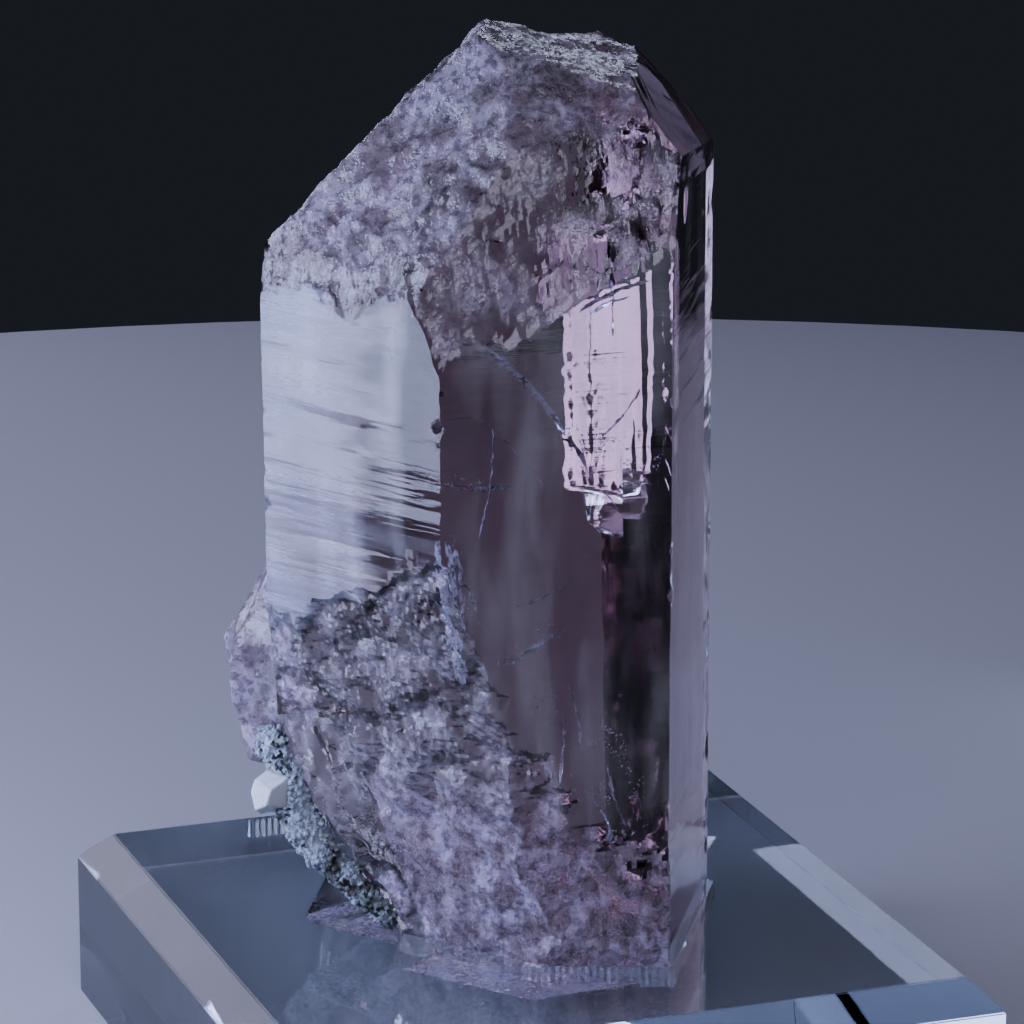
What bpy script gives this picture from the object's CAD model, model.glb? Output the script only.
"""Smoky quartz standing in its clear acrylic base: the finished surfaces.

Metres, +Z up. The origin is the middle of the base's underside, and -Y is the base's front.
A bearing is an angle in degrees about the vertical, from -Y toward +X. The crystal's planes
repeat the solid model's own dimensions, and the other pieces are shaped from its solids.
"""
import math
from collections import namedtuple

import bmesh
import bpy
import numpy as np
from mathutils import Matrix, Vector, noise


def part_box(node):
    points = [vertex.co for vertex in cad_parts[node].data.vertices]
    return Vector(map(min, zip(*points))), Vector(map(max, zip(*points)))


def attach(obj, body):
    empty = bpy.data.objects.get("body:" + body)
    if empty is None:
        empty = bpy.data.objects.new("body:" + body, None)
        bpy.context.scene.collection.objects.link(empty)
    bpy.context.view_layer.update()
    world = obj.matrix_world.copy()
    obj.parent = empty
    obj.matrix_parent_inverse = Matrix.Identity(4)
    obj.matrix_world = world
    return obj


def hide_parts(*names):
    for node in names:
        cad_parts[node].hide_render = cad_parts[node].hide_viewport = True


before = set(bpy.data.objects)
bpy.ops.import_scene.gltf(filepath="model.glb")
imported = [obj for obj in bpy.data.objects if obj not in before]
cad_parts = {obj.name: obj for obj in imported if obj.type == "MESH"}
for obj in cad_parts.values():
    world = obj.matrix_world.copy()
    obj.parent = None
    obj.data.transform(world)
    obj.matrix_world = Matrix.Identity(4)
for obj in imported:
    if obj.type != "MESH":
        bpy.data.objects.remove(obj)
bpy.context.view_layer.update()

MM = 0.001

# The photograph's camera
CAMERA_PLACE = (-0.17667, -0.48580, 0.20831)
CAMERA_HEADING = -19.86
CAMERA_DIP = 15.82
CAMERA_LENS = 182.8
CAMERA_FILM = 36.0

# Main crystal: the long axis, and each prism face's bearing past the front face, its distance
# from the axis at the level where the faces are measured, and how far it leans under
AXIS = Vector((-4.2 * MM, -1.4 * MM, 0.0))
MEASURED_LEVEL = 88 * MM
FRONT_BEARING = -1.0
PRISM_FACES = {
    "front": (0, 21.0 * MM, 0.0),
    "right": (60, 21.0 * MM, 0.0),
    "back_right": (120, 21.3 * MM, -0.7),
    "back": (180, 19.6 * MM, 0.0),
    "back_left": (240, 21.0 * MM, 0.8),
    "left": (300, 21.0 * MM, 0.0),
}
FOOT_LEVEL = 12.3 * MM
TOP_LEVEL = 118 * MM
BLOCK_WIDTH = 64 * MM

# Millimetres from the axis to each side of the block before the prism faces are cut
ROUGH_FLAT = 24

# End faces: bearing past the front face, slope, and level where each leaves the prism's flat
SMOOTH_END_FACES = {
    "right": (65.5, 49.0, 101.3 * MM),
    "back_right": (120, 51.8, 104.0 * MM),
    "back": (180, 51.8, 93.0 * MM),
}
ROUGH_END_FACES = {
    "left": (-60, 49.0, 89.4 * MM),
    "left_foot": (-62, 63.0, 88.0 * MM),
    "front": (-18, 40.0, 97.0 * MM),
    "front_foot": (-10, 66.0, 87.5 * MM),
    "back_left": (-120, 46.0, 92.0 * MM),
}
BLUNT_TOP = (60.0, 13.0, 112.0 * MM)

# Broken lower front: a point on each face of the break, its bearing and how far it leans under
BREAKS = {
    "left_break": (Vector((-6.8, -14.3, 19.0)) * MM, -53.0, 17.0),
    "front_break": (Vector((-2.4, -18.6, 19.0)) * MM, -21.5, 14.0),
    "under_break": (Vector((-13.6, 1.5, 19.0)) * MM, -97.0, 38.0),
}

# Hollow in the lower left, behind the ridge that the break leaves
HOLLOW_RIDGE_TOP = Vector((-22.5, -6.1, 43.8)) * MM
HOLLOW_RIDGE_FOOT = Vector((-11.5, -5.9, 14.5)) * MM
HOLLOW_DEPTH = 2.8 * MM
HOLLOW_REACH = 26 * MM
HOLLOW_RUN_OUT = 20 * MM
HOLLOW_TAPER = 7.0
HOLLOW_CUTS = 71
HOLLOW_WAVES = (0.9 * MM, 7 * MM)
HOLLOW_GRAIN = (0.42 * MM, 1.6 * MM)

# Side crystal
SIDE_CENTRE = Vector((-20.4, 9.6, 41.5)) * MM
SIDE_FLAT = 7.4 * MM
SIDE_DROP = 7.6 * MM
SIDE_END_LEVEL = 6.6 * MM
SIDE_BEARING = 249.0
SIDE_LEAN = 11.0
SIDE_TURN = 14.0
SIDE_MINOR_RISE = 1.6 * MM
SIDE_FOOT_NORMAL = Vector((-0.3, -0.2, -0.93)).normalized()
SIDE_SKIN = 0.5 * MM
SIDE_WAVES = (0.55 * MM, 3.5 * MM)
SIDE_GRAIN = (0.12 * MM, 1.1 * MM)
RHOMB_SLOPE = 51.8


def outward(bearing, lean=0.0):
    """Unit vector at a bearing, raised above the horizontal by a lean."""
    turn = math.radians(bearing)
    rise = math.radians(lean)
    return Vector((math.sin(turn) * math.cos(rise), -math.cos(turn) * math.cos(rise), math.sin(rise)))


def smooth_step(value, low, high):
    share = min(1.0, max(0.0, (value - low) / (high - low)))
    return share * share * (3 - 2 * share)


# Mesh helpers

def mesh_object(name, mesh):
    thing = bpy.data.objects.new(name, mesh)
    bpy.context.scene.collection.objects.link(thing)
    return thing


def object_from_bmesh(name, bm, recalculate=True):
    if recalculate:
        bmesh.ops.recalc_face_normals(bm, faces=bm.faces[:])
    mesh = bpy.data.meshes.new(name)
    bm.to_mesh(mesh)
    bm.free()
    return mesh_object(name, mesh)


def settle(thing):
    """Turn an object's modifiers into its plain mesh."""
    depsgraph = bpy.context.evaluated_depsgraph_get()
    mesh = bpy.data.meshes.new_from_object(thing.evaluated_get(depsgraph), depsgraph=depsgraph)
    thing.modifiers.clear()
    old = thing.data
    thing.data = mesh
    bpy.data.meshes.remove(old)


def combine(body, others, operation):
    """Boolean the others into body, one by one, and remove them."""
    for other in others:
        modifier = body.modifiers.new(other.name, "BOOLEAN")
        modifier.object = other
        modifier.operation = operation
        modifier.solver = "MANIFOLD"
    settle(body)
    for other in others:
        bpy.data.objects.remove(other, do_unlink=True)


def shave(bm, point, normal):
    """Cut a closed shape flat, taking away what lies on the normal's side."""
    everything = bm.verts[:] + bm.edges[:] + bm.faces[:]
    bmesh.ops.bisect_plane(bm, geom=everything, plane_co=point, plane_no=normal, clear_outer=True)
    bmesh.ops.holes_fill(bm, edges=bm.edges[:])


def block(size):
    """Box of a given size about the origin."""
    bm = bmesh.new()
    bmesh.ops.create_cube(bm, size=1.0)
    bmesh.ops.scale(bm, vec=size, verts=bm.verts[:])
    return bm


def relief_block(name, columns, rows, relief, far, place):
    """Closed block whose near side is a sheet at z = relief(x, y) and whose far side is flat."""
    across = len(columns)
    along = len(rows)
    verts = [place @ Vector((x, y, relief(x, y))) for y in rows for x in columns]
    rim = list(range(across))
    rim += [across * j + across - 1 for j in range(1, along)]
    rim += [across * (along - 1) + k for k in range(across - 2, -1, -1)]
    rim += [across * j for j in range(along - 2, 0, -1)]
    first_far = len(verts)
    for k in rim:
        x = columns[k % across]
        y = rows[k // across]
        verts.append(place @ Vector((x, y, far)))
    faces = []
    for j in range(along - 1):
        for k in range(across - 1):
            a = across * j + k
            faces.append((a, a + across, a + across + 1, a + 1))
    for k, near in enumerate(rim):
        following = (k + 1) % len(rim)
        faces.append((near, rim[following], first_far + following, first_far + k))
    faces.append([first_far + k for k in range(len(rim))])
    mesh = bpy.data.meshes.new(name)
    mesh.from_pydata(verts, [], faces)
    if far < 0:
        mesh.flip_normals()
    return mesh_object(name, mesh)


def spread(*stretches):
    """Sorted positions along a line: (start, stop, step) for each stretch."""
    places = []
    for start, stop, step in stretches:
        places += list(np.linspace(start, stop, max(2, int(round((stop - start) / step)) + 1)))
    return sorted(set(round(place, 7) for place in places))


# Crystal surfaces

CORNER = 12.1 * MM
FACE_COLUMNS = spread((-17 * MM, -14.2 * MM, 1.4 * MM), (-14.2 * MM, -9.8 * MM, 0.45 * MM),
                      (-9.8 * MM, 9.8 * MM, 1.7 * MM), (9.8 * MM, 14.2 * MM, 0.45 * MM),
                      (14.2 * MM, 17 * MM, 1.4 * MM))
FRONT_COLUMNS = spread((-17 * MM, -14.2 * MM, 1.4 * MM), (-14.2 * MM, 14.2 * MM, 0.55 * MM),
                       (14.2 * MM, 17 * MM, 1.4 * MM))

# Where the front face turns rough below, as places across it and levels
ETCH_LINE = ((-18, 64.6), (-16.8, 60.4), (-8.4, 42.9), (0.1, 33.4), (7.4, 30.0), (14.0, 27.0))
ETCH_DEPTH = 0.3 * MM
ETCH_RELIEF = (0.2 * MM, 1.1 * MM)
FACE_ROWS = {"front": 0.42 * MM, "left": 0.36 * MM, "right": 0.42 * MM}
HIDDEN_ROWS = 0.6 * MM
HIDDEN_SKEW = 0.1
STEP_DEPTH = {"front": 0.05 * MM, "left": 0.13 * MM, "right": 0.07 * MM}
OTHER_STEP_DEPTH = 0.09 * MM


def growth_steps(name, x, level):
    """How far a prism face is stepped in: flat bands with low risers between, and fine lines."""
    seed = 3.7 * list(PRISM_FACES).index(name)
    bent = level + 0.5 * MM * noise.noise(Vector((x / (9 * MM), level / (14 * MM), seed)))
    wide = noise.fractal(Vector((x / (60 * MM), bent / (5.5 * MM), seed + 9)), 0.7, 2.0, 3)
    banded = math.floor(wide * 6) / 6
    fade = smooth_step(noise.noise(Vector((x / (8 * MM), level / (7 * MM), seed + 21))), -0.35, 0.25)
    fine = noise.noise(Vector((x / (30 * MM), bent / (0.8 * MM), seed + 5)))
    depth = STEP_DEPTH.get(name, OTHER_STEP_DEPTH)
    return depth * (0.5 + 0.5 * fade) * (0.75 - banded) + 0.2 * depth * fine * fade


def etched_share(spot):
    """How rough a spot of the front face is, from 0 above the ragged line to 1 below it."""
    across = (spot - AXIS).dot(outward(FRONT_BEARING + 90)) / MM + AXIS.x / MM
    line = np.interp(across, [place for place, _ in ETCH_LINE], [level for _, level in ETCH_LINE])
    ragged = noise.fractal(spot / (4 * MM) + Vector((7, 1, 3)), 0.9, 2.1, 3)
    return smooth_step(line + 3.2 * ragged - spot.z / MM, -0.6, 1.4)


def etched_depth(x, level):
    """How far the rough foot of the front face is eaten in."""
    facing = outward(FRONT_BEARING)
    spot = AXIS + facing * PRISM_FACES["front"][1] + outward(FRONT_BEARING + 90) * x
    spot.z = level
    share = etched_share(spot)
    if share == 0.0:
        return 0.0
    near = noise.voronoi(spot / ETCH_RELIEF[1])[0]
    wave = noise.fractal(spot / (5 * MM), 0.8, 2.0, 3)
    return share * (ETCH_DEPTH * (1 + wave) + ETCH_RELIEF[0] * (near[1] - near[0]))


def edge_chips(name, x, level):
    """Small bites out of a prism face where it meets the next one."""
    seed = 5.1 * list(PRISM_FACES).index(name) + (2.4 if x > 0 else 0.0)
    off_edge = abs(abs(x) - CORNER)
    bite = noise.noise(Vector((level / (1.6 * MM), seed, 0)))
    bite += 0.6 * noise.noise(Vector((level / (9 * MM), seed, 4)))
    reach = 1.1 * MM * max(0.0, bite - 0.35)
    return max(0.0, reach - 0.55 * off_edge)


def prism_cutter(name):
    """Block outside one prism face, its near side stepped and chipped."""
    bearing, distance, lean = PRISM_FACES[name]
    facing = FRONT_BEARING + bearing
    normal = outward(facing, -lean)
    across = outward(facing + 90)
    up = normal.cross(across)
    point = AXIS + outward(facing) * distance + Vector((0, 0, MEASURED_LEVEL))
    point -= up * (point.z / up.z)
    place = Matrix.Translation(point) @ Matrix((across, up, normal)).transposed().to_4x4()
    rows = spread((FOOT_LEVEL - 3 * MM, TOP_LEVEL + 3 * MM, FACE_ROWS.get(name, HIDDEN_ROWS)))

    def relief(x, y):
        along = x if name in FACE_ROWS else HIDDEN_SKEW * x
        depth = max(0.0, growth_steps(name, along, y)) + edge_chips(name, x, y)
        if name == "front":
            depth += etched_depth(x, y)
        return -depth

    columns = FRONT_COLUMNS if name == "front" else FACE_COLUMNS
    return relief_block(name + "_face", columns, rows, relief, 25 * MM, place)


def end_face(bearing, slope, level):
    """A point on a sloping end face and its normal; the face leaves the prism at the level."""
    normal = outward(FRONT_BEARING + bearing, 90.0 - slope)
    point = AXIS + outward(FRONT_BEARING + bearing) * PRISM_FACES["front"][1]
    point.z = level
    return point, normal


def smooth_end_level(x, y):
    """Level of the rough end before its relief: the lowest of its sloping faces."""
    spot = Vector((x, y, 0)) - AXIS
    levels = []
    for bearing, slope, level in ROUGH_END_FACES.values():
        inward = PRISM_FACES["front"][1] - spot.dot(outward(FRONT_BEARING + bearing))
        levels.append(level + inward * math.tan(math.radians(slope)))
    bearing, slope, level = BLUNT_TOP
    levels.append(level - spot.dot(outward(bearing)) * math.tan(math.radians(slope)))
    return min(levels)


END_LUMPS = (0.9 * MM, 9.0 * MM)
END_RIDGES = (0.55 * MM, 4.6 * MM)
END_COBBLES = (1.0 * MM, 1.7 * MM)
END_CRYSTALS = (0.45 * MM, 1.0 * MM)
END_GRAINS = (0.10 * MM, 0.7 * MM)
END_RAGS = (1.9 * MM, 5.0 * MM)
END_RAG_LEVELS = (93 * MM, 98 * MM)
END_PITCH = 0.26 * MM
END_REACH = 25 * MM
GLITTER_CENTRE = Vector((4.5, -12.0, 95.0)) * MM
GLITTER_REACH = 17 * MM


def glitter(spot):
    """Where the etched end breaks up into bright cobbles, from 0 to 1."""
    off = spot - GLITTER_CENTRE
    near = 1.0 - (off.x ** 2 * 0.5 + off.y ** 2 * 1.3 + off.z ** 2 * 2.0) ** 0.5 / GLITTER_REACH
    patch = noise.fractal(spot / (5 * MM) + Vector((4, 1, 7)), 0.8, 2.0, 2)
    return smooth_step(near + 0.45 * patch, 0.0, 0.45)


def rough_end_level(x, y):
    """Level of the etched end: lumps, soft ridges, and cobbles that are coarser lower down."""
    base = smooth_end_level(x, y)
    spot = Vector((x, y, base))
    lump = noise.fractal(Vector((x, y, 0)) / END_LUMPS[1] + Vector((3.1, 7.7, 0.4)), 0.8, 2.0, 3)
    flow = Vector((x * 0.55, y, 1.5 * base)) / END_RIDGES[1]
    ridge = noise.ridged_multi_fractal(flow, 0.9, 2.1, 3, 1.0, 1.6) - 1.0
    bright = glitter(spot)
    near = noise.voronoi(spot / END_COBBLES[1])[0]
    cobble = (near[1] - near[0]) * (0.08 + 0.75 * bright)
    near = noise.voronoi(spot / END_CRYSTALS[1])[0]
    crystal = (near[1] - near[0]) * (0.5 + 0.5 * noise.noise(spot / (3 * MM)))
    fine = noise.fractal(spot / END_GRAINS[1], 0.6, 2.0, 2)
    rag = max(0.0, noise.fractal(spot / END_RAGS[1] + Vector((2, 6, 1)), 0.8, 2.0, 3))
    rag *= 1.0 - smooth_step(base, *END_RAG_LEVELS)
    level = base + END_LUMPS[0] * lump + END_RIDGES[0] * ridge - END_RAGS[0] * rag
    return level + END_COBBLES[0] * cobble + END_CRYSTALS[0] * crystal + END_GRAINS[0] * fine


def rough_end_cutter():
    places = spread((-END_REACH, END_REACH, END_PITCH))
    place = Matrix.Translation(AXIS)

    def relief(x, y):
        return rough_end_level(x + AXIS.x, y + AXIS.y)

    return relief_block("rough_end", places, places, relief, 170 * MM, place)


BREAK_RIDGE = (0.85 * MM, 7.0 * MM)
BREAK_SCALES = (0.55 * MM, 2.3 * MM)
BREAK_GRAIN = (0.12 * MM, 0.9 * MM)
BREAK_CRYSTALS = (0.30 * MM, 0.95 * MM)
BREAK_PITCH = 0.34 * MM
BREAK_CENTRE_RISE = 22 * MM
BREAK_HALF_WIDTH = 24 * MM
BREAK_HALF_HEIGHT = 28 * MM
SCALY_LEVELS = (30 * MM, 44 * MM)


def break_cutter(name):
    """Block outside the crystal whose near side is one broken face, scaly above, soft below."""
    point, bearing, lean = BREAKS[name]
    normal = outward(bearing, -lean)
    across = outward(bearing + 90)
    up = normal.cross(across)
    shift = normal * 3
    centre = point + up * (BREAK_CENTRE_RISE / up.z)

    def relief(x, y):
        spot = Vector((x, y, 0))
        level = centre.z + y * up.z
        ridge = noise.ridged_multi_fractal(spot / BREAK_RIDGE[1] + shift, 0.9, 2.1, 2, 1.0, 1.8)
        bend = noise.noise_vector(spot / (5 * MM)) * 0.5
        tilted = Vector((x * 0.7 + y * 0.5, y * 0.42 - x * 0.25, 0)) / BREAK_SCALES[1] + bend
        scale = noise.voronoi(tilted + shift * 2)[0][0]
        wave = noise.noise(spot / (9 * MM) + shift)
        scaly = smooth_step(level + 9 * MM * wave, *SCALY_LEVELS)
        fine = noise.fractal(spot / BREAK_GRAIN[1] + shift, 0.8, 2.0, 2)
        near = noise.voronoi(spot / BREAK_CRYSTALS[1] + bend + shift)[0]
        deep = BREAK_RIDGE[0] * ridge + BREAK_SCALES[0] * scale * (0.1 + 0.9 * scaly)
        deep += BREAK_CRYSTALS[0] * (near[1] - near[0]) * (0.35 + 0.65 * scaly)
        return -deep - BREAK_GRAIN[0] * fine

    place = Matrix.Translation(centre) @ Matrix((across, up, normal)).transposed().to_4x4()
    columns = spread((-BREAK_HALF_WIDTH, BREAK_HALF_WIDTH, BREAK_PITCH))
    rows = spread((-BREAK_HALF_HEIGHT, BREAK_HALF_HEIGHT, BREAK_PITCH))
    return relief_block(name, columns, rows, relief, 30 * MM, place)


def hollow_axes():
    """Directions along the ridge, across it into the hollow, and out of the crystal."""
    down = (HOLLOW_RIDGE_FOOT - HOLLOW_RIDGE_TOP).normalized()
    out = outward(BREAKS["left_break"][1], -BREAKS["left_break"][2])
    out = (out - down * out.dot(down)).normalized()
    return down, down.cross(out), out


def in_hollow(spot):
    """Whether a spot of the broken surface lies in the hollow behind the ridge."""
    down, side, out = hollow_axes()
    off = spot - HOLLOW_RIDGE_TOP
    return off.dot(side) > 0.2 * MM and off.dot(down) > 0.2 * MM and off.dot(out) < -0.8 * MM


def hollow_cutter():
    """Rough block, one long edge on the ridge, that cuts the hollow behind it."""
    down, side, out = hollow_axes()
    length = (HOLLOW_RIDGE_FOOT - HOLLOW_RIDGE_TOP).length + HOLLOW_RUN_OUT
    size = Vector((length, HOLLOW_REACH, HOLLOW_REACH))
    bm = block(size)
    bmesh.ops.subdivide_edges(bm, edges=bm.edges[:], cuts=HOLLOW_CUTS, use_grid_fill=True)
    centre = size / 2 - Vector((0, 0, HOLLOW_DEPTH))
    bmesh.ops.translate(bm, vec=centre, verts=bm.verts[:])
    for vert in bm.verts:
        spot = vert.co.copy()
        wave = noise.noise_vector(spot / HOLLOW_WAVES[1] + Vector((1.7, 9.2, 4.1)))
        vert.co += wave * HOLLOW_WAVES[0]
        vert.co += noise.noise_vector(spot / HOLLOW_GRAIN[1]) * HOLLOW_GRAIN[0]
    taper = Matrix.Rotation(math.radians(-HOLLOW_TAPER), 3, "Y")
    axes = Matrix((down, side, out)).transposed() @ taper
    placed = Matrix.Translation(HOLLOW_RIDGE_TOP) @ axes.to_4x4()
    bmesh.ops.transform(bm, matrix=placed, verts=bm.verts[:])
    return object_from_bmesh("hollow", bm)


def side_crystal():
    """Smaller six-sided crystal with a pointed end, leaning out of the main one."""
    bm = block((40 * MM, 40 * MM, 60 * MM))
    for k in range(6):
        normal = outward(60 * k + SIDE_TURN)
        shave(bm, normal * SIDE_FLAT, normal)
        slant = outward(60 * k + SIDE_TURN, 90 - RHOMB_SLOPE)
        level = SIDE_END_LEVEL + (SIDE_MINOR_RISE if k % 2 else 0.0)
        shave(bm, normal * SIDE_FLAT + Vector((0, 0, level)), slant)
    shave(bm, Vector((0, 0, -SIDE_DROP)), SIDE_FOOT_NORMAL)
    bmesh.ops.triangulate(bm, faces=bm.faces[:])
    lean_axis = outward(SIDE_BEARING).cross(Vector((0, 0, -1)))
    placed = Matrix.Translation(SIDE_CENTRE) @ Matrix.Rotation(math.radians(SIDE_LEAN), 4, lean_axis)
    bmesh.ops.transform(bm, matrix=placed, verts=bm.verts[:])
    thing = object_from_bmesh("side_crystal", bm)
    remesh = thing.modifiers.new("fine_skin", "REMESH")
    remesh.mode = "VOXEL"
    remesh.voxel_size = SIDE_SKIN
    settle(thing)
    for vert in thing.data.vertices:
        wave = noise.noise_vector(vert.co / SIDE_WAVES[1]) * SIDE_WAVES[0]
        fine = noise.noise_vector(vert.co / SIDE_GRAIN[1]) * SIDE_GRAIN[0]
        vert.co = vert.co + wave + fine
    return thing


def quartz_shape():
    """The main crystal with the side crystal grown into it."""
    bm = block((BLOCK_WIDTH, BLOCK_WIDTH, TOP_LEVEL - FOOT_LEVEL))
    middle = AXIS + Vector((0, 0, (TOP_LEVEL + FOOT_LEVEL) / 2))
    bmesh.ops.translate(bm, vec=middle, verts=bm.verts[:])
    for k in range(6):
        normal = outward(FRONT_BEARING + 60 * k)
        shave(bm, AXIS + normal * ROUGH_FLAT * MM, normal)
    for face in SMOOTH_END_FACES.values():
        shave(bm, *end_face(*face))
    body = object_from_bmesh("quartz_crystal", bm)
    combine(body, [prism_cutter(name) for name in PRISM_FACES], "DIFFERENCE")
    combine(body, [rough_end_cutter()], "DIFFERENCE")
    combine(body, [break_cutter(name) for name in BREAKS], "DIFFERENCE")
    combine(body, [hollow_cutter()], "DIFFERENCE")
    combine(body, [side_crystal()], "UNION")
    return body


def corner_attribute(mesh, name, at_verts, on_faces):
    """Store a value at every face corner: the vertex's value where the face takes part."""
    corner_verts = np.empty(len(mesh.loops), dtype=np.int32)
    mesh.loops.foreach_get("vertex_index", corner_verts)
    totals = np.empty(len(mesh.polygons), dtype=np.int32)
    mesh.polygons.foreach_get("loop_total", totals)
    values = at_verts[corner_verts] * np.repeat(on_faces, totals)
    mesh.attributes.new(name, "FLOAT", "CORNER").data.foreach_set("value", values)


def face_planes():
    """Name, a point and the outward normal of each flat face that grew smooth."""
    planes = []
    for name, (bearing, distance, lean) in PRISM_FACES.items():
        facing = FRONT_BEARING + bearing
        point = AXIS + outward(facing) * distance + Vector((0, 0, MEASURED_LEVEL))
        planes.append((name, point, outward(facing, -lean)))
    for name, face in SMOOTH_END_FACES.items():
        planes.append((name + "_end", *end_face(*face)))
    return planes


# How far off a flat face's plane its own faces may lie: prism faces, the etched foot of the
# front face, and end faces, which all lie above a level
FACE_BAND = 0.5 * MM
ETCHED_BAND = 1.2 * MM
END_BAND = 0.04 * MM
END_FACES_FROM = 90 * MM

# Sharper bends than this, in degrees, stay sharp edges
SHARP_BEND = 38

# Above this level a rough surface belongs to the etched end, below it to the break
ROUGH_END_FROM = 76 * MM


def mark_surface(thing, body_faces, clear_faces):
    """Corner attributes: frost and milk on etched or broken faces, sheen on the left face."""
    mesh = thing.data
    count = len(mesh.polygons)
    centres = np.empty(count * 3)
    mesh.polygons.foreach_get("center", centres)
    centres = centres.reshape(-1, 3)
    flat = np.zeros(count, dtype=bool)
    sheen = np.zeros(count)
    for name, point, normal in face_planes():
        off = np.abs((centres - np.array(point)) @ np.array(normal))
        if name.endswith("_end"):
            flat |= (off < END_BAND) & (centres[:, 2] > END_FACES_FROM)
        else:
            flat |= off < FACE_BAND
        if name == "left":
            sheen[off < FACE_BAND] = 1.0
        if name == "front":
            front = off < ETCHED_BAND
    for k in np.nonzero(front)[0]:
        if etched_share(Vector(centres[k])) > 0.5:
            flat[k] = False
    frost_at = np.empty(len(mesh.vertices))
    milk_at = np.empty(len(mesh.vertices))
    sheen_at = np.empty(len(mesh.vertices))
    for k, vert in enumerate(mesh.vertices):
        frost_at[k], milk_at[k] = etched_look(vert.co)
        sheen_at[k] = left_sheen(vert.co)
    inner = np.zeros(count, dtype=bool)
    inner[body_faces:] = True
    rough = 1.0 - (flat | inner)
    sparkling = np.zeros(count, dtype=bool)
    for k in np.nonzero(rough)[0]:
        sparkling[k] = sparkle(Vector(centres[k])) > 0.5
    corner_attribute(mesh, "frost", frost_at, rough)
    corner_attribute(mesh, "milk", milk_at, rough)
    milky = np.zeros(count)
    milky[clear_faces:] = 1.0
    corner_attribute(mesh, "veil", np.ones(len(mesh.vertices)), milky)
    corner_attribute(mesh, "sheen", sheen_at, sheen)
    corner_attribute(mesh, "growth", np.ones(len(mesh.vertices)), flat.astype(float))
    mesh.shade_smooth()
    mesh.set_sharp_from_angle(angle=math.radians(SHARP_BEND))
    facets = mesh.attributes.get("sharp_face") or mesh.attributes.new("sharp_face", "BOOLEAN", "FACE")
    facets.data.foreach_set("value", sparkling)


def sparkle(spot):
    """Where the rough surfaces keep sharp little facets, from 0 to 1."""
    patch = noise.fractal(spot / (2.4 * MM) + Vector((9, 3, 6)), 0.7, 2.0, 3)
    if spot.z > ROUGH_END_FROM:
        lower = 1.0 - smooth_step(spot.z, 90 * MM, 103 * MM)
        return max(glitter(spot), lower) * 0.75 + 0.6 * patch
    return 0.9 * smooth_step(spot.z, *SCALY_LEVELS) + 0.6 * patch


CLEAR_PATCH_SIZE = 4.5 * MM
CLEAR_PATCH_LEVELS = (99 * MM, 104 * MM)
CLEAR_PATCH_PLACES = (-16 * MM, -9 * MM)

# The side crystal's surface lies left of, behind and below this spot
SIDE_REACH = Vector((-22.8, -3.0, 60.0)) * MM


def clear_patch(spot):
    """Where the lower part of the etched end is clear enough to look in, from 0 to 1."""
    patch = noise.fractal(spot / CLEAR_PATCH_SIZE + Vector((6, 2, 9)), 0.8, 2.0, 2)
    level = 1.0 - smooth_step(spot.z, *CLEAR_PATCH_LEVELS)
    return smooth_step(patch, 0.05, 0.35) * level * smooth_step(spot.x, *CLEAR_PATCH_PLACES)


def etched_look(spot):
    """Frost and milk of a rough surface at a spot, each 0 to 1."""
    patch = noise.fractal(spot / (6 * MM) + Vector((2, 8, 5)), 0.8, 2.0, 3)
    if spot.x < SIDE_REACH.x and spot.y > SIDE_REACH.y and spot.z < SIDE_REACH.z:
        return 0.35 + 0.3 * patch, 0.60 + 0.4 * patch
    if spot.z > ROUGH_END_FROM:
        bright = glitter(spot)
        shut = 1.0 - clear_patch(spot)
        return (0.8 - 0.5 * bright + 0.3 * patch) * shut, (0.50 - 0.45 * bright + 0.2 * patch) * shut
    if in_hollow(spot):
        return 0.35 + 0.3 * patch, 0.10 + 0.3 * patch
    scaly = smooth_step(spot.z + 6 * MM * patch, *SCALY_LEVELS)
    return 0.9 - 0.6 * scaly + 0.2 * patch, 0.78 - 0.55 * scaly + 0.3 * patch


def left_sheen(spot):
    """Soft sheen of the left face: strongest towards its left edge, broken up in level bands."""
    along = (spot - AXIS).dot(outward(FRONT_BEARING + 300 + 90)) / (24 * MM) + 0.5
    patch = noise.fractal(spot / (7 * MM) + Vector((5, 5, 1)), 0.8, 2.0, 2)
    return (1.0 - smooth_step(along + 0.25 * patch, 0.25, 0.80)) * (0.75 + 0.5 * patch)


# Materials

def new_shader(name):
    material = bpy.data.materials.new(name)
    material.use_nodes = True
    tree = material.node_tree
    shader = tree.nodes["Principled BSDF"]
    return material, tree, shader


def add_node(tree, kind, **settings):
    """New shader node; a setting named after an input fills that input, by value or by link."""
    node = tree.nodes.new(kind)
    for key, value in settings.items():
        if hasattr(node, key):
            setattr(node, key, value)
            continue
        socket = node.inputs[key.replace("_", " ")]
        if isinstance(value, bpy.types.NodeSocket):
            tree.links.new(value, socket)
        else:
            socket.default_value = value
    return node


def sums(tree, operation, first, second=0.0, third=0.0):
    node = tree.nodes.new("ShaderNodeMath")
    node.operation = operation
    for socket, value in zip(node.inputs, (first, second, third)):
        if isinstance(value, bpy.types.NodeSocket):
            tree.links.new(value, socket)
        else:
            socket.default_value = value
    return node.outputs[0]


def grain(tree, coordinates, size, detail=3.0, stretch=(1, 1, 1)):
    """Noise whose features are about size metres across."""
    mapping = add_node(tree, "ShaderNodeMapping", Vector=coordinates, Scale=stretch)
    pattern = add_node(tree, "ShaderNodeTexNoise", Vector=mapping.outputs[0], Scale=1 / size,
                       Detail=detail)
    return pattern.outputs["Fac"]


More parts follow.
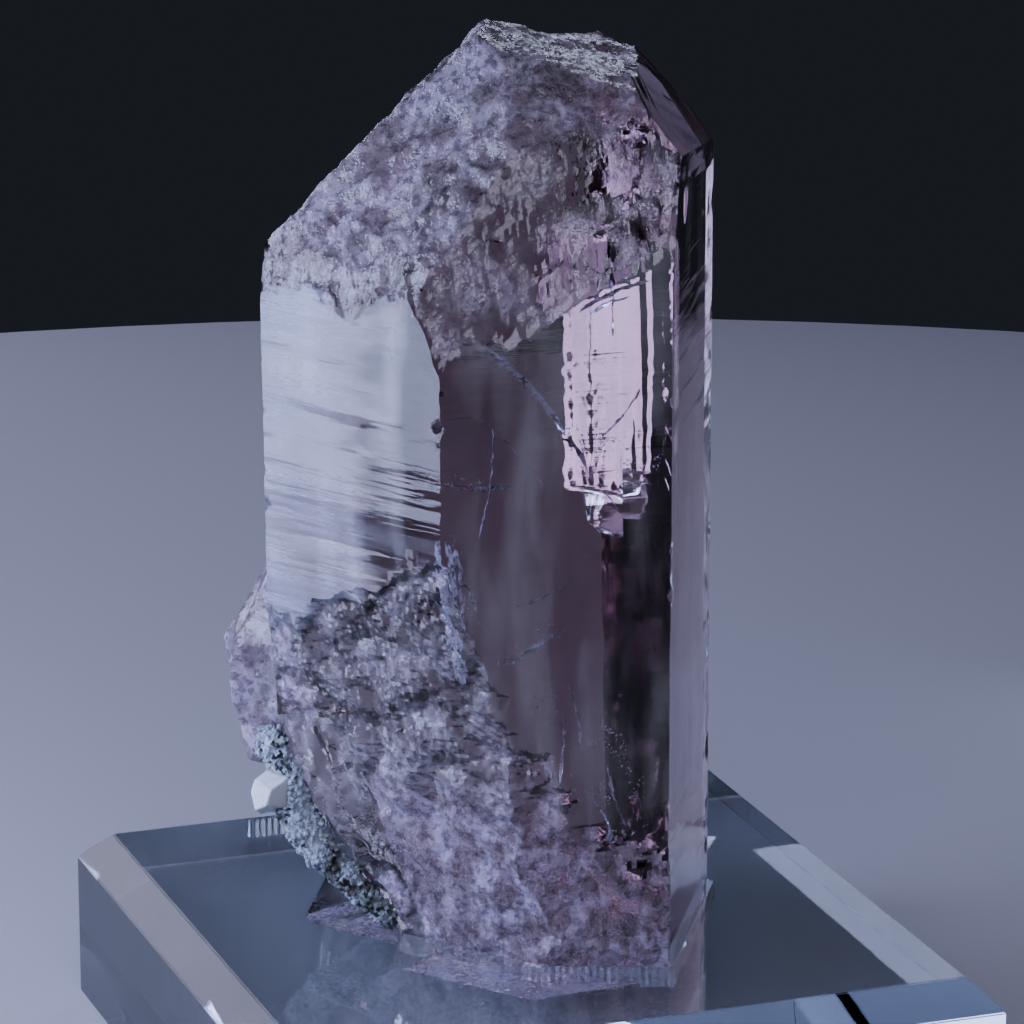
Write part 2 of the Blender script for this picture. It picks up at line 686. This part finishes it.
def between(tree, value, low, high, to_low=0.0, to_high=1.0):
    node = add_node(tree, "ShaderNodeMapRange", interpolation_type="SMOOTHSTEP", Value=value)
    node.inputs["From Min"].default_value = low
    node.inputs["From Max"].default_value = high
    node.inputs["To Min"].default_value = to_low
    node.inputs["To Max"].default_value = to_high
    return node.outputs[0]


def blend_colour(tree, factor, first, second):
    node = tree.nodes.new("ShaderNodeMix")
    node.data_type = "RGBA"
    tree.links.new(factor, node.inputs[0])
    for socket, value in ((node.inputs[6], first), (node.inputs[7], second)):
        if isinstance(value, bpy.types.NodeSocket):
            tree.links.new(value, socket)
        else:
            socket.default_value = (*value, 1.0)
    return node.outputs[2]


def link(tree, output, socket):
    tree.links.new(output, socket)


def absorb(tree, colour, density):
    """Let a clear material take up light inside it, the same all through."""
    volume = add_node(tree, "ShaderNodeVolumeAbsorption", Color=(*colour, 1.0), Density=density)
    link(tree, volume.outputs[0], tree.nodes["Material Output"].inputs["Volume"])


def voronoi_facets(tree, coordinates, size):
    """Height that makes small tilted facets about size metres across, and each one's own shade."""
    cells = add_node(tree, "ShaderNodeTexVoronoi", Vector=coordinates, Scale=1 / size)
    shade = add_node(tree, "ShaderNodeSeparateColor", Color=cells.outputs["Color"])
    return cells.outputs["Distance"], shade.outputs[0]


def smoky_quartz_material():
    """Clear smoky quartz: polished growth faces with level striations, frosted etched ones."""
    material, tree, shader = new_shader("smoky_quartz_finish")
    place = add_node(tree, "ShaderNodeTexCoord").outputs["Object"]
    frost = add_node(tree, "ShaderNodeAttribute", attribute_name="frost").outputs["Fac"]
    milk = add_node(tree, "ShaderNodeAttribute", attribute_name="milk").outputs["Fac"]
    sheen = add_node(tree, "ShaderNodeAttribute", attribute_name="sheen").outputs["Fac"]
    veil = add_node(tree, "ShaderNodeAttribute", attribute_name="veil").outputs["Fac"]
    growth = add_node(tree, "ShaderNodeAttribute", attribute_name="growth").outputs["Fac"]
    lines = grain(tree, place, 0.45 * MM, 2.0, (0.04, 0.04, 1.0))
    broad_lines = grain(tree, place, 2.2 * MM, 2.0, (0.05, 0.05, 1.0))
    grit = grain(tree, place, 0.28 * MM, 1.0)
    cloud = grain(tree, place, 3.2 * MM, 4.0)
    flecks = grain(tree, place, 0.9 * MM, 3.0)
    facet_height, facet_shade = voronoi_facets(tree, place, 0.42 * MM)
    streaks = between(tree, sums(tree, "MULTIPLY", lines, broad_lines), 0.18, 0.36)
    polish = sums(tree, "MULTIPLY_ADD", streaks, 0.05, 0.006)
    frosted = sums(tree, "MULTIPLY", frost, between(tree, facet_shade, 0.0, 1.0, 0.08, 0.40))
    satin = sums(tree, "MULTIPLY", sheen, sums(tree, "MULTIPLY_ADD", streaks, 0.2, 0.08))
    rough = sums(tree, "ADD", polish, sums(tree, "ADD", frosted, satin))
    link(tree, rough, shader.inputs["Roughness"])
    cloudy = sums(tree, "MULTIPLY", milk, between(tree, cloud, 0.38, 0.62, 0.35, 0.85))
    speckled = sums(tree, "MULTIPLY", cloudy, between(tree, flecks, 0.40, 0.54, 0.45, 1.0))
    silky = sums(tree, "MULTIPLY", sheen, sums(tree, "MULTIPLY_ADD", streaks, 0.30, 0.08))
    misty = sums(tree, "MULTIPLY", veil, between(tree, flecks, 0.40, 0.56, 0.1, 0.75))
    drifts = grain(tree, place, 5 * MM, 3.0, (1.0, 1.0, 0.22))
    haze = sums(tree, "MULTIPLY", growth, between(tree, drifts, 0.42, 0.72, 0.0, 0.26))
    haze = sums(tree, "MULTIPLY", haze, between(tree, streaks, 0.0, 1.0, 0.8, 1.0))
    white = sums(tree, "ADD", sums(tree, "ADD", speckled, silky), sums(tree, "ADD", misty, haze))
    clear = sums(tree, "MAXIMUM", sums(tree, "SUBTRACT", 1.0, white), 0.15)
    link(tree, clear, shader.inputs["Transmission Weight"])
    tint = blend_colour(tree, between(tree, cloud, 0.3, 0.7), (0.72, 0.55, 0.64), (0.64, 0.56, 0.78))
    tint = blend_colour(tree, sums(tree, "MAXIMUM", sheen, veil), tint, (0.72, 0.74, 0.98))
    tint = blend_colour(tree, growth, tint, (0.62, 0.64, 0.86))
    shown = sums(tree, "ADD", sums(tree, "MULTIPLY", milk, 1.5), sums(tree, "ADD", sheen, veil))
    shown = sums(tree, "ADD", shown, haze)
    shown = sums(tree, "MINIMUM", shown, 1.0)
    link(tree, blend_colour(tree, shown, (1.0, 1.0, 1.0), tint), shader.inputs["Base Color"])
    line_height = sums(tree, "MULTIPLY", sums(tree, "ADD", lines, broad_lines), growth)
    pitted = sums(tree, "MULTIPLY", sums(tree, "ADD", facet_height, grit), frost)
    height = sums(tree, "ADD", pitted, sums(tree, "MULTIPLY", line_height, 0.2))
    bump = add_node(tree, "ShaderNodeBump", Height=height, Strength=0.45, Distance=0.15 * MM)
    link(tree, bump.outputs[0], shader.inputs["Normal"])
    shader.inputs["IOR"].default_value = 1.544
    absorb(tree, (0.56, 0.39, 0.43), 68.0)
    return material


def acrylic_material():
    """Clear cast acrylic, polished, with faint handling haze."""
    material, tree, shader = new_shader("clear_acrylic_finish")
    place = add_node(tree, "ShaderNodeTexCoord").outputs["Object"]
    haze = grain(tree, place, 14 * MM, 5.0)
    scuffs = grain(tree, place, 1.4 * MM, 2.0, (1.0, 0.12, 1.0))
    rough = between(tree, sums(tree, "MULTIPLY", haze, scuffs), 0.24, 0.5, 0.006, 0.05)
    link(tree, rough, shader.inputs["Roughness"])
    bump = add_node(tree, "ShaderNodeBump", Height=haze, Strength=0.15, Distance=0.1 * MM)
    link(tree, bump.outputs[0], shader.inputs["Normal"])
    shader.inputs["Base Color"].default_value = (0.985, 0.992, 1.0, 1.0)
    shader.inputs["Transmission Weight"].default_value = 1.0
    shader.inputs["IOR"].default_value = 1.49
    absorb(tree, (0.70, 0.86, 1.0), 13.0)
    return material


def matrix_material():
    """Granular host rock: pale blue-grey to olive grains with near black ones among them."""
    material, tree, shader = new_shader("matrix_rock_finish")
    place = add_node(tree, "ShaderNodeTexCoord").outputs["Object"]
    cells = add_node(tree, "ShaderNodeTexVoronoi", Vector=place, Scale=1 / (0.45 * MM))
    shade = add_node(tree, "ShaderNodeSeparateColor", Color=cells.outputs["Color"])
    pale = blend_colour(tree, shade.outputs[0], (0.22, 0.27, 0.32), (0.55, 0.62, 0.72))
    patches = grain(tree, place, 3.2 * MM, 4.0)
    olive = blend_colour(tree, between(tree, patches, 0.48, 0.64), pale, (0.10, 0.115, 0.10))
    dark = between(tree, sums(tree, "MULTIPLY", patches, shade.outputs[1]), 0.40, 0.46)
    link(tree, blend_colour(tree, dark, olive, (0.02, 0.022, 0.02)), shader.inputs["Base Color"])
    link(tree, between(tree, shade.outputs[2], 0.0, 1.0, 0.45, 0.95), shader.inputs["Roughness"])
    fine = grain(tree, place, 0.3 * MM, 4.0)
    bump = add_node(tree, "ShaderNodeBump", Height=fine, Strength=0.6, Distance=0.2 * MM)
    link(tree, bump.outputs[0], shader.inputs["Normal"])
    return material


def feldspar_material():
    """White wedge: pearly, faintly blue, with cleavage lines."""
    material, tree, shader = new_shader("white_feldspar_finish")
    place = add_node(tree, "ShaderNodeTexCoord").outputs["Object"]
    cleavage = grain(tree, place, 0.5 * MM, 3.0, (0.15, 1.0, 1.0))
    patches = grain(tree, place, 1.6 * MM, 3.0)
    white = blend_colour(tree, patches, (0.62, 0.68, 0.76), (0.86, 0.88, 0.90))
    link(tree, white, shader.inputs["Base Color"])
    link(tree, between(tree, cleavage, 0.3, 0.7, 0.2, 0.5), shader.inputs["Roughness"])
    bump = add_node(tree, "ShaderNodeBump", Height=cleavage, Strength=0.5, Distance=0.15 * MM)
    link(tree, bump.outputs[0], shader.inputs["Normal"])
    shader.inputs["Subsurface Weight"].default_value = 0.3
    shader.inputs["Subsurface Radius"].default_value = (0.6, 0.7, 0.9)
    shader.inputs["Subsurface Scale"].default_value = 0.8 * MM
    return material


def floor_material():
    material, tree, shader = new_shader("pale_floor")
    shader.inputs["Base Color"].default_value = (0.46, 0.46, 0.50, 1.0)
    shader.inputs["Roughness"].default_value = 0.7
    return material


# Pieces

def copy_of_node(name, new_name):
    """Merged copy of a solid's mesh, as a new object."""
    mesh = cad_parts[name].data.copy()
    bm = bmesh.new()
    bm.from_mesh(mesh)
    bmesh.ops.remove_doubles(bm, verts=bm.verts[:], dist=1e-6)
    bpy.data.meshes.remove(mesh)
    return object_from_bmesh(new_name, bm)


def dress(piece, material, node):
    piece.data.materials.clear()
    piece.data.materials.append(material)
    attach(piece, "root")
    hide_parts(node)


BASE_BEVEL = 3.2 * MM
BASE_EDGE_SOFTNESS = 0.12 * MM
POCKET_DEPTH = 7 * MM
RIB_HALF_PITCH = 0.375 * MM
RIB_HEIGHT = 0.2 * MM


def pocket_corners():
    """The pocket's corners in plan, from the solid base's pocket floor."""
    low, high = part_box("acrylic_base")
    places = set()
    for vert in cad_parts["acrylic_base"].data.vertices:
        if abs(vert.co.z - (high.z - POCKET_DEPTH)) < 0.2 * MM:
            places.add((round(vert.co.x, 6), round(vert.co.y, 6)))
    middle = Vector((sum(p[0] for p in places), sum(p[1] for p in places))) / len(places)
    return sorted(places, key=lambda p: math.atan2(p[1] - middle.y, p[0] - middle.x))


def acrylic_base():
    """Clear block with bevelled top edges and the milled pocket, its wall ribbed by the cutter."""
    low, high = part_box("acrylic_base")
    size = high - low
    bm = block(size)
    bmesh.ops.translate(bm, vec=(low + high) / 2, verts=bm.verts[:])
    top_edges = [edge for edge in bm.edges if all(vert.co.z > size.z / 2 for vert in edge.verts)]
    bmesh.ops.bevel(bm, geom=top_edges, offset=BASE_BEVEL, segments=1, affect="EDGES")
    bmesh.ops.bevel(bm, geom=bm.edges[:], offset=BASE_EDGE_SOFTNESS, segments=2, affect="EDGES")
    base = object_from_bmesh("clear_acrylic_base", bm)
    combine(base, [pocket_cutter()], "DIFFERENCE")
    return base


def pocket_cutter():
    """Prism over the pocket: its outline carries ribs of a steady pitch."""
    low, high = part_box("acrylic_base")
    corners = [Vector((*corner, 0)) for corner in pocket_corners()]
    outline = []
    for k, start in enumerate(corners):
        stop = corners[(k + 1) % len(corners)]
        run = stop - start
        aside = Vector((run.y, -run.x, 0)).normalized()
        steps = max(2, int(run.length / RIB_HALF_PITCH))
        for j in range(steps):
            rib = -RIB_HEIGHT if j % 2 else 0.0
            outline.append(start + run * (j / steps) + aside * rib)
    bm = bmesh.new()
    face = bm.faces.new([bm.verts.new(point) for point in outline])
    raised = bmesh.ops.extrude_face_region(bm, geom=[face])
    for vert in raised["geom"]:
        if isinstance(vert, bmesh.types.BMVert):
            vert.co.z += 2 * POCKET_DEPTH
    bmesh.ops.translate(bm, vec=(0, 0, high.z - POCKET_DEPTH), verts=bm.verts[:])
    return object_from_bmesh("pocket", bm)


def wire(tree, source, output, target, entry):
    tree.links.new(source.outputs[output], target.inputs[entry])


def scatter_tree(name, *other_inputs):
    """Geometry Nodes: small many-sided bits of mixed sizes put over a surface.

    Returns the tree, its entry, and the nodes that make the points and the bits on them.
    """
    tree = bpy.data.node_groups.new(name, "GeometryNodeTree")
    tree.interface.new_socket("Geometry", in_out="OUTPUT", socket_type="NodeSocketGeometry")
    inputs = (("Geometry", "Geometry"), ("Density", "Float"), ("Smallest", "Float"),
              ("Largest", "Float"))
    for label, kind in inputs + other_inputs:
        tree.interface.new_socket(label, in_out="INPUT", socket_type="NodeSocket" + kind)
    entry = tree.nodes.new("NodeGroupInput")
    points = tree.nodes.new("GeometryNodeDistributePointsOnFaces")
    bit = tree.nodes.new("GeometryNodeMeshIcoSphere")
    bit.inputs["Radius"].default_value = 1.0
    bit.inputs["Subdivisions"].default_value = 1
    bits = tree.nodes.new("GeometryNodeInstanceOnPoints")
    size = tree.nodes.new("FunctionNodeRandomValue")
    wire(tree, entry, "Geometry", points, "Mesh")
    wire(tree, points, "Points", bits, "Points")
    wire(tree, bit, "Mesh", bits, "Instance")
    wire(tree, entry, "Smallest", size, 2)
    wire(tree, entry, "Largest", size, 3)
    wire(tree, size, 1, bits, "Scale")
    return tree, entry, points, bits


def end_tree(tree, entry, source, output):
    """Close a tree: real mesh, the material that it is given, and out."""
    real = tree.nodes.new("GeometryNodeRealizeInstances")
    finish = tree.nodes.new("GeometryNodeSetMaterial")
    leave = tree.nodes.new("NodeGroupOutput")
    wire(tree, source, output, real, "Geometry")
    wire(tree, real, "Geometry", finish, "Geometry")
    wire(tree, entry, "Material", finish, "Material")
    wire(tree, finish, "Geometry", leave, "Geometry")


def grains_tree():
    """Geometry Nodes: angular grains of mixed sizes scattered over a surface and joined to it."""
    tree, entry, points, grains = scatter_tree("scattered_grains", ("Seed", "Int"),
                                               ("Material", "Material"))
    turn = tree.nodes.new("FunctionNodeRandomValue")
    turn.data_type = "FLOAT_VECTOR"
    turn.inputs["Max"].default_value = (6.28, 6.28, 6.28)
    join = tree.nodes.new("GeometryNodeJoinGeometry")
    wire(tree, entry, "Density", points, "Density")
    wire(tree, entry, "Seed", points, "Seed")
    wire(tree, turn, "Value", grains, "Rotation")
    wire(tree, entry, "Geometry", join, "Geometry")
    wire(tree, grains, "Instances", join, "Geometry")
    end_tree(tree, entry, join, "Geometry")
    return tree


def add_tree(thing, tree, **values):
    """Give an object a Geometry Nodes modifier with its inputs set, and make the result plain."""
    modifier = thing.modifiers.new(tree.name, "NODES")
    modifier.node_group = tree
    for item in tree.interface.items_tree:
        if item.in_out == "INPUT" and item.name in values:
            modifier[item.identifier] = values[item.name]
    settle(thing)


CRUST_SKIN = 0.3 * MM
CRUST_CELLS = 1.1 * MM
CRUST_SWELL = (-0.35 * MM, 0.55 * MM)
CRUST_GRAINS_PER_AREA = 2.6e6
CRUST_GRAIN_SIZES = (0.12 * MM, 0.42 * MM)
CRUST_SEED = 5
WEDGE_WEAR = 0.09 * MM


def matrix_crust(material):
    """Crust of grains: the solid's form, its skin roughened and grains stuck over it."""
    crust = copy_of_node("matrix_crust", "granular_crust")
    remesh = crust.modifiers.new("fine_skin", "REMESH")
    remesh.mode = "VOXEL"
    remesh.voxel_size = CRUST_SKIN
    settle(crust)
    mesh = crust.data
    mesh.update()
    least, most = CRUST_SWELL
    for vert in mesh.vertices:
        near = noise.voronoi(vert.co / CRUST_CELLS)[0]
        vert.co = vert.co + vert.normal * (least + most * (near[1] - near[0]))
    smallest, largest = CRUST_GRAIN_SIZES
    add_tree(crust, grains_tree(), Density=CRUST_GRAINS_PER_AREA, Smallest=smallest,
             Largest=largest, Seed=CRUST_SEED, Material=material)
    return crust


def feldspar_wedge():
    """White wedge crystal, its edges worn and its faces stepped along the cleavage."""
    wedge = copy_of_node("feldspar_crystal", "white_wedge_crystal")
    bm = bmesh.new()
    bm.from_mesh(wedge.data)
    bmesh.ops.dissolve_limit(bm, angle_limit=math.radians(1), verts=bm.verts[:], edges=bm.edges[:])
    bmesh.ops.bevel(bm, geom=bm.edges[:], offset=WEDGE_WEAR, segments=2, affect="EDGES")
    bm.to_mesh(wedge.data)
    bm.free()
    return wedge


# Flaws inside the main crystal

FRONT_NORMAL = outward(FRONT_BEARING)
FRONT_ACROSS = outward(FRONT_BEARING + 90)

# How far the line of sight moves aside and down inside the quartz, for each unit of depth
SIGHT_ASIDE = 0.23
SIGHT_DROP = 0.18


def inside(x, level, depth):
    """Spot under the front face: seen from the front at x and level, at a depth in millimetres."""
    on_face = AXIS + FRONT_NORMAL * (PRISM_FACES["front"][1] - depth * MM)
    aside = FRONT_ACROSS * (x * MM - AXIS.x + SIGHT_ASIDE * depth * MM)
    return on_face + aside + Vector((0, 0, (level - SIGHT_DROP * depth) * MM))


CRACK_GAP = 0.02 * MM
CRACK_RIPPLE = 1.4 * MM
CRACK_RAGS = 1.6 * MM

# A crack runs from start to stop, each an (x, level, depth) in mm on the front face's view.
# Its width is in mm and its tilt turns it about its length. Then how far it sags, the height of
# its ripples, the size of its mesh cells, how ragged its sides are, how much its ripples are
# drawn out along it, how sharply its ends taper and how uneven they are.
Crack = namedtuple("Crack", "start stop width tilt seed sag rough cells ragged flow taper uneven",
                   defaults=(0.0, 0.22, 0.3, 0.9, 1.0, 6, 0.0))


def crack_spot(crack, u, v, sign):
    """Spot on one side of a crack, u along it from 0 to 1 and v across it from -1 to 1."""
    first = inside(*crack.start)
    last = inside(*crack.stop)
    length = (last - first).length
    along = (last - first).normalized()
    side = along.cross(FRONT_NORMAL).normalized()
    side = Matrix.Rotation(math.radians(crack.tilt), 3, along) @ side
    normal = along.cross(side)
    half = crack.width * MM / 2
    taper = min(1.0, crack.taper * u, crack.taper * (1 - u)) ** 0.5
    bite = 0.5 - abs(noise.noise(Vector((u * length / CRACK_RAGS, crack.seed, 0.3))))
    ends = noise.fractal(Vector((v * 2.2, crack.seed, 1.5)), 0.8, 2.2, 3)
    reach = length * (1 + crack.uneven * ends)
    spot = first + along * (u * reach) + side * (v * half * taper * (1.0 - crack.ragged * bite))
    ripple = Vector((u * length * crack.flow, v * half, crack.seed * MM)) / CRACK_RIPPLE
    rise = crack.sag * 4 * u * (1 - u) + crack.rough * noise.fractal(ripple, 0.8, 2.0, 3)
    gap = CRACK_GAP * (1 - v * v) if 0.0 < u < 1.0 else 0.0
    return spot + normal * (rise * MM + sign * gap)


def crack_shell(crack):
    """Thin lens-shaped gap as a closed shell whose faces look into the gap."""
    length = (inside(*crack.stop) - inside(*crack.start)).length / MM
    count = max(6, int(length / crack.cells))
    lanes = max(4, int(crack.width / crack.cells))
    shell = bmesh.new()
    for sign in (1, -1):
        grid = [[shell.verts.new(crack_spot(crack, i / count, 2 * j / lanes - 1, sign))
                 for j in range(lanes + 1)] for i in range(count + 1)]
        for i in range(count):
            for j in range(lanes):
                corners = (grid[i][j], grid[i + 1][j], grid[i + 1][j + 1], grid[i][j + 1])
                shell.faces.new(corners if sign < 0 else corners[::-1])
    bmesh.ops.remove_doubles(shell, verts=shell.verts[:], dist=0.0005 * MM)
    bmesh.ops.dissolve_degenerate(shell, edges=shell.edges[:], dist=0.0005 * MM)
    bmesh.ops.recalc_face_normals(shell, faces=shell.faces[:])
    bmesh.ops.reverse_faces(shell, faces=shell.faces[:])
    mesh = bpy.data.meshes.new("crack")
    shell.to_mesh(mesh)
    shell.free()
    return mesh


CRACKS = (
    Crack((-12.6, 86.4, 5), (-3.4, 76.2, 8), 1.3, 58, 1.0, 0.8),
    Crack((-11.9, 85.2, 6), (-5.4, 79.2, 8), 0.8, 66, 21.0, 0.4),
    Crack((-8.0, 82.0, 6), (-4.0, 77.0, 7), 1.1, 52, 22.0, 0.3),
    Crack((-12.2, 78.6, 4), (-5.4, 70.6, 9), 0.2, 61, 2.0, 0.2),
    Crack((-11.0, 77.5, 5), (-12.8, 65.5, 7), 0.3, 61, 3.0, 0.7),
    Crack((-16.2, 72.2, 6), (-9.0, 71.4, 8), 1.0, -58, 4.0, 0.5),
    Crack((-15.8, 66.4, 2), (-15.2, 57.5, 4), 1.6, 60, 5.0, 0.5),
    Crack((-14.9, 65.6, 3), (-14.2, 55.0, 5), 1.3, 66, 25.0, 0.4),
    Crack((-15.6, 61.8, 3), (-13.4, 50.5, 4), 1.0, 54, 26.0, 0.6),
    Crack((-14.2, 62.0, 3), (-12.8, 58.6, 5), 0.9, 61, 6.0, 0.3),
    Crack((-9.0, 58.8, 6), (-3.2, 60.6, 8), 0.5, -60, 7.0, 0.4),
    Crack((-9.6, 53.2, 5), (-4.6, 55.6, 7), 1.1, -56, 8.0, 0.5),
    Crack((-9.0, 53.0, 5), (-5.6, 54.4, 7), 0.8, -66, 28.0, -0.3),
    Crack((-2.0, 88.4, 4), (5.4, 91.0, 5), 0.8, -60, 9.0, -0.7),
    Crack((-1.0, 88.0, 4), (3.4, 89.6, 5), 0.6, -54, 29.0, -0.5),
    Crack((1.4, 93.4, 4), (1.6, 85.6, 4), 0.35, 61, 10.0, 0.0),
    Crack((4.6, 80.2, 3), (0.2, 75.4, 8), 0.4, 61, 11.0, 0.4),
    Crack((-4.4, 76.0, 7), (-1.4, 72.6, 9), 1.0, 58, 12.0, 0.8),
    Crack((0.0, 70.6, 4), (2.6, 67.4, 5), 0.25, 61, 13.0, 0.1),
    Crack((-9.2, 42.8, 2), (-7.8, 41.4, 3), 0.9, 61, 14.0, 0.1),
    Crack((-3.0, 50.0, 8), (-1.6, 43.0, 9), 0.5, 61, 15.0, 0.2),
    Crack((-3.6, 47.0, 7), (-4.4, 38.0, 8), 0.5, 57, 16.0, 0.5),
    Crack((1.2, 41.0, 4), (3.4, 34.0, 6), 0.6, 61, 17.0, -0.4),
    Crack((-1.0, 38.5, 4), (2.0, 33.0, 5), 0.6, 64, 18.0, 0.4),
)

# Sheets that aren't built themselves and only carry veils of specks
VEILS = (
    Crack((-12.0, 86.0, 5), (-3.0, 76.0, 8), 4.0, 45, 41.0, 0.9),
    Crack((-16.0, 68.0, 4), (-13.0, 50.0, 5), 5.0, 50, 42.0, 0.6),
    Crack((-16.5, 73.0, 5), (-8.0, 71.5, 8), 3.0, -50, 43.0, 0.6),
    Crack((-10.5, 53.0, 6), (-3.0, 57.0, 8), 3.2, -50, 44.0, 0.5),
    Crack((-5.0, 51.0, 6), (-3.5, 36.0, 8), 6.0, 30, 45.0, 0.6),
    Crack((0.5, 47.0, 6), (4.5, 30.0, 5), 6.5, 25, 46.0, -0.6),
    Crack((-2.0, 88.0, 4), (5.5, 91.5, 5), 2.0, -50, 47.0, -0.6),
    Crack((-1.0, 77.0, 7), (6.0, 70.0, 8), 3.0, 40, 48.0, 0.4),
)
SPECKS_PER_AREA = 3.2e6
SPECK_SIZES = (0.035 * MM, 0.11 * MM)
SPECKS_SEED = 17


# Wide flat cracks that mirror the left side: behind the upper right of the front face, and
# under the lumps above it
MIRROR_CRACKS = (
    Crack((2.2, 95.0, 12), (2.6, 69.0, 12), 19.0, 61, 31.0, 0.2,
          rough=0.075, cells=0.4, ragged=0.10, flow=0.012, taper=60, uneven=0.22),
    Crack((6.5, 104.3, 13.9), (5.1, 96.6, 13.1), 13.0, 63, 33.0, 0.2,
          rough=0.06, cells=0.4, ragged=0.3, flow=0.3, taper=8, uneven=0.15),
)


def specks_tree():
    """Geometry Nodes: tiny bubbles scattered over a sheet, thinned out in patches."""
    tree, entry, points, bubbles = scatter_tree("veil_specks", ("Seed", "Int"),
                                                ("Material", "Material"))
    patches = tree.nodes.new("ShaderNodeTexNoise")
    patches.inputs["Scale"].default_value = 1 / (2.2 * MM)
    patches.inputs["Detail"].default_value = 2.0
    thinned = tree.nodes.new("ShaderNodeMapRange")
    thinned.inputs["From Min"].default_value = 0.46
    thinned.inputs["From Max"].default_value = 0.62
    amount = tree.nodes.new("ShaderNodeMath")
    amount.operation = "MULTIPLY"
    wire(tree, patches, 0, thinned, "Value")
    wire(tree, thinned, 0, amount, 0)
    wire(tree, entry, "Density", amount, 1)
    wire(tree, amount, 0, points, "Density")
    wire(tree, entry, "Seed", points, "Seed")
    end_tree(tree, entry, bubbles, "Instances")
    return tree


def veil_specks(material):
    """The specks of every veil as one mesh whose faces look into the bubbles."""
    sheets = bmesh.new()
    for veil in VEILS:
        sheet = crack_shell(veil)
        sheets.from_mesh(sheet)
        bpy.data.meshes.remove(sheet)
    specks = object_from_bmesh("specks", sheets)
    smallest, largest = SPECK_SIZES
    add_tree(specks, specks_tree(), Density=SPECKS_PER_AREA, Smallest=smallest,
             Largest=largest, Seed=SPECKS_SEED, Material=material)
    mesh = specks.data
    bpy.data.objects.remove(specks)
    mesh.flip_normals()
    return mesh


def add_flaws(body, material):
    """Join the cracks into the crystal's mesh as thin inner gaps; the mirrors' faces come first."""
    bm = bmesh.new()
    bm.from_mesh(body.data)
    for crack in MIRROR_CRACKS + CRACKS:
        gap = crack_shell(crack)
        bm.from_mesh(gap)
        bpy.data.meshes.remove(gap)
        if crack in MIRROR_CRACKS:
            clear_faces = len(bm.faces)
    specks = veil_specks(material)
    bm.from_mesh(specks)
    bpy.data.meshes.remove(specks)
    bm.to_mesh(body.data)
    bm.free()
    return clear_faces


def make_specimen():
    quartz = quartz_shape()
    body_faces = len(quartz.data.polygons)
    clear = smoky_quartz_material()
    clear_faces = add_flaws(quartz, clear)
    mark_surface(quartz, body_faces, clear_faces)
    dress(quartz, clear, "smoky_quartz_crystal")
    dress(acrylic_base(), acrylic_material(), "acrylic_base")
    rock = matrix_material()
    dress(matrix_crust(rock), rock, "matrix_crust")
    dress(feldspar_wedge(), feldspar_material(), "feldspar_crystal")


# Stage

# Name, place, what it points at, size, power in watts and colour of each softbox
SOFTBOXES = (
    ("left_softbox", (-0.20, 0.03, 0.11), (0, 0, 0.07), (0.18, 0.20), 0.90,
     (0.52, 0.60, 1.0)),
    ("right_softbox", (0.1326, 0.0931, 0.027), (0.0, 0.02, 0.070), (0.020, 0.056), 0.0060,
     (0.46, 0.66, 1.0)),
    ("back_softbox", (-0.17, 0.36, 0.16), (0, 0, 0.03), (0.34, 0.16), 0.55,
     (0.66, 0.68, 1.0)),
    ("rim_softbox", (0.17, 0.27, 0.27), (0, 0, 0.09), (0.10, 0.12), 0.16,
     (0.66, 0.72, 1.0)),
    ("front_softbox", (-0.15, -0.36, 0.38), (0, 0, 0.06), (0.30, 0.30), 1.0,
     (0.78, 0.76, 1.0)),
)
FLOOR_RADIUS = 0.34
FLOOR_DROP = 0.15 * MM
SURROUNDINGS = (0.10, 0.12, 0.16)
SURROUNDINGS_STRENGTH = 0.12


def area_light(name, place, target, size, power, colour):
    lamp = bpy.data.lights.new(name, "AREA")
    lamp.shape = "RECTANGLE"
    lamp.size, lamp.size_y = size
    lamp.energy = power
    lamp.color = colour
    thing = bpy.data.objects.new(name, lamp)
    thing.location = place
    thing.rotation_euler = (Vector(target) - Vector(place)).to_track_quat("-Z", "Y").to_euler()
    thing.visible_camera = False
    bpy.context.scene.collection.objects.link(thing)


def make_stage():
    bm = bmesh.new()
    bmesh.ops.create_circle(bm, cap_ends=True, segments=128, radius=FLOOR_RADIUS)
    bmesh.ops.translate(bm, vec=(0, 0, -FLOOR_DROP), verts=bm.verts[:])
    floor = object_from_bmesh("pale_floor", bm)
    floor.data.materials.append(floor_material())
    for softbox in SOFTBOXES:
        area_light(*softbox)
    world = bpy.data.worlds.new("studio")
    world.use_nodes = True
    background = world.node_tree.nodes["Background"]
    background.inputs["Color"].default_value = (*SURROUNDINGS, 1.0)
    background.inputs["Strength"].default_value = SURROUNDINGS_STRENGTH
    bpy.context.scene.world = world


def limit_light_paths():
    """Follow light through as many surfaces as the clear pieces need, and no more."""
    settings = bpy.context.scene.cycles
    settings.max_bounces = 6
    settings.transmission_bounces = 6
    settings.diffuse_bounces = 1
    settings.glossy_bounces = 3
    settings.adaptive_threshold = 0.25


def make_camera():
    camera = bpy.data.cameras.new("photo_camera")
    camera.lens = CAMERA_LENS
    camera.sensor_width = CAMERA_FILM
    camera.clip_start = 0.05
    camera.clip_end = 20.0
    thing = bpy.data.objects.new("photo_camera", camera)
    thing.location = CAMERA_PLACE
    thing.rotation_euler = (math.radians(90 - CAMERA_DIP), 0, math.radians(CAMERA_HEADING))
    bpy.context.scene.collection.objects.link(thing)
    bpy.context.scene.camera = thing


make_camera()
make_specimen()
make_stage()
limit_light_paths()
